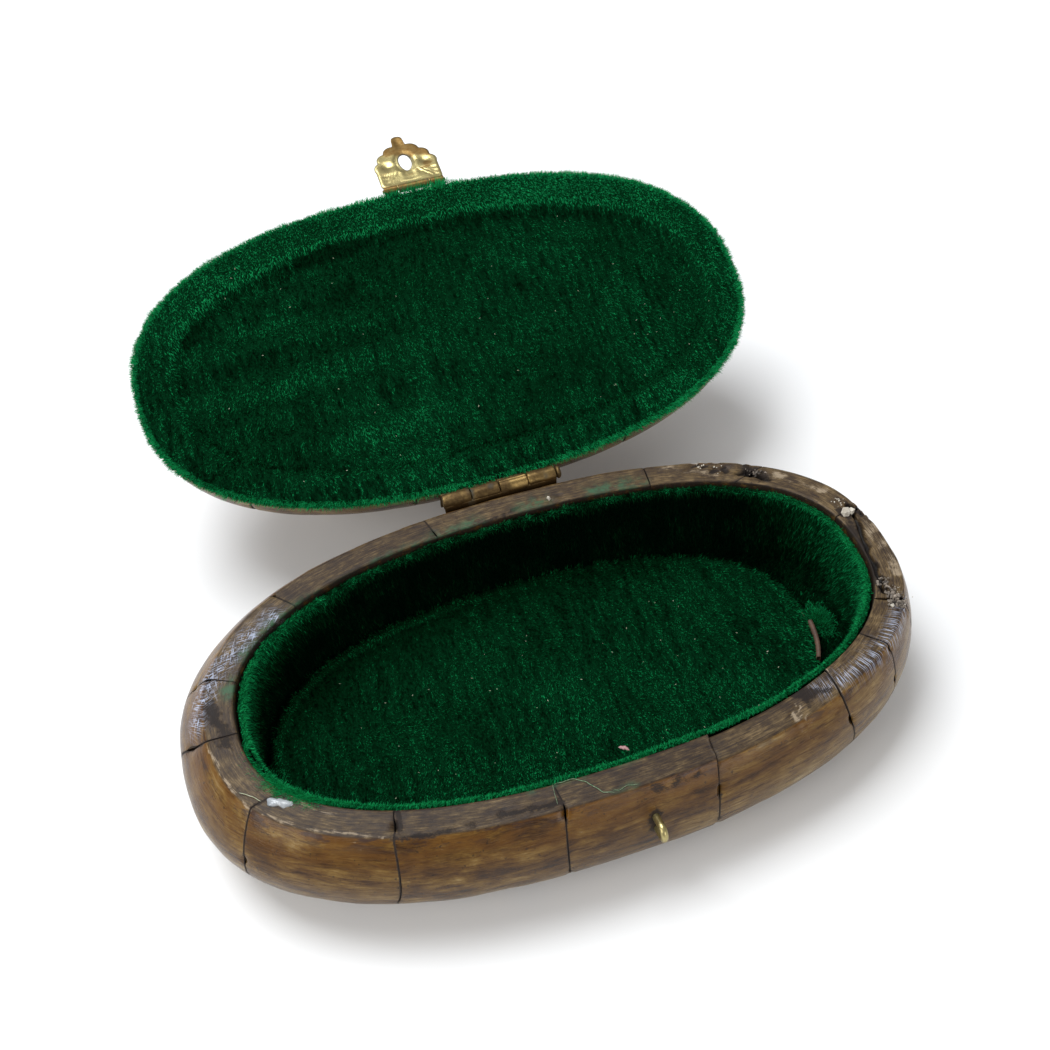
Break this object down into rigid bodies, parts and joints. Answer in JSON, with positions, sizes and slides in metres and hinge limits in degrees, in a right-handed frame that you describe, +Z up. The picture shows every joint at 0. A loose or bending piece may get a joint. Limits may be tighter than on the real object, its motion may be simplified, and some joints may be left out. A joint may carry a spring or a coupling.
{
  "type": "bone box",
  "caption": "Oval trinket box of polished bone segments with a hinged lid, a brass hasp and staple, and a dark green velvet lining, shown open.",
  "frame": {"origin": "centre of the base's underside", "axes": "+X along the box's length, +Y towards the hinge, +Z up"},
  "size_m": [0.1598, 0.1964, 0.0613],
  "materials": {
    "bone": "polished aged bone, brown and tan",
    "wood": "plain board",
    "velvet": "dark green cotton velvet",
    "aged_brass": "brown tarnished brass",
    "bright_brass": "stamped brass, partly tarnished"
  },
  "bodies": {
    "base": {"wall_01": "bone", "wall_02": "bone", "wall_03": "bone", "wall_04": "bone", "wall_05": "bone", "wall_06": "bone", "wall_07": "bone", "wall_08": "bone", "wall_09": "bone", "wall_10": "bone", "wall_11": "bone", "wall_12": "bone", "wall_13": "bone", "wall_14": "bone", "floor_board": "wood", "wall_lining": "velvet", "floor_pad": "velvet", "staple": "bright_brass", "hinge_base_leaf": "aged_brass", "hinge_pin": "aged_brass", "nail_base_1": "aged_brass", "nail_base_2": "aged_brass", "nail_base_3": "aged_brass"},
    "lid": {"lid_edge_01": "bone", "lid_edge_02": "bone", "lid_edge_03": "bone", "lid_edge_04": "bone", "lid_edge_05": "bone", "lid_edge_06": "bone", "lid_edge_07": "bone", "lid_edge_08": "bone", "lid_edge_09": "bone", "lid_edge_10": "bone", "lid_edge_11": "bone", "lid_edge_12": "bone", "lid_edge_13": "bone", "lid_edge_14": "bone", "crown_1": "bone", "crown_2": "bone", "crown_3": "bone", "crown_4": "bone", "crown_5": "bone", "lid_lining": "velvet", "hinge_lid_leaf": "aged_brass", "hasp_plate": "bright_brass", "hasp_pin": "bright_brass", "nail_lid_1": "aged_brass", "nail_lid_2": "aged_brass", "nail_lid_3": "aged_brass", "nail_hasp_1": "bright_brass", "nail_hasp_2": "bright_brass"},
    "hasp": {"hasp_flap": "bright_brass"}
  },
  "joints": [
    {"name": "lid_hinge", "type": "hinge", "parent": "base", "child": "lid", "pos_m": [-0.0006, 0.0445, 0.0272], "axis": [1, 0, 0], "range_deg": [0, 158.9]},
    {"name": "hasp_hinge", "type": "hinge", "parent": "lid", "child": "hasp", "pos_m": [0.0038, 0.12698, 0.05763], "axis": [1, 0, 0], "range_deg": [0, 81]}
  ]
}
